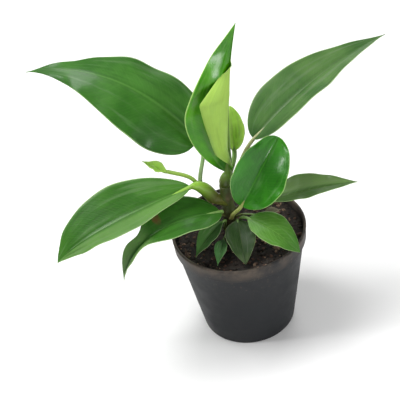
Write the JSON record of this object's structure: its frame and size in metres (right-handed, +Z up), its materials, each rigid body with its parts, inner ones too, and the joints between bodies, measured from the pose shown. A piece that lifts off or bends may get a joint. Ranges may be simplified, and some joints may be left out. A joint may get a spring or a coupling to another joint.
{
  "type": "potted philodendron",
  "caption": "Young potted philodendron with spreading glossy green leaves on a short stem, rooted in dark soil in a round tapered plastic nursery pot.",
  "frame": {"origin": "centre of the pot's flat underside, on the surface the pot stands on", "axes": "+Z up; +Y towards the back of the plant; +X to the plant's right as seen from the front"},
  "size_m": [0.314, 0.14, 0.299],
  "materials": {
    "pot_plastic": "satin, dark grey, with dusty soil marks at the collar",
    "potting_soil": "rough, dark brown peat and bark crumbs",
    "stem": "satin, brownish green",
    "leaf": "satin to glossy, mid green, with pale veins and margins",
    "young_leaf": "glossy, bright yellow-green",
    "dull_leaf": "satin, dull grey-green"
  },
  "bodies": {
    "root": {"pot": "pot_plastic", "potting_soil": "potting_soil", "main_stem": "stem", "leaf_back_left": "leaf", "leaf_upright_young": "young_leaf", "leaf_bud": "young_leaf", "leaf_upper_right": "leaf", "leaf_cupped": "leaf", "leaf_mid_right": "leaf", "leaf_low_right": "leaf", "leaf_low_front": "dull_leaf", "leaf_low_left": "dull_leaf", "leaf_low_tiny": "dull_leaf", "leaf_front_left": "leaf", "leaf_arching_left": "leaf", "leaf_left_shoot": "young_leaf", "leaf_withered": "dull_leaf"}
  },
  "joints": []
}
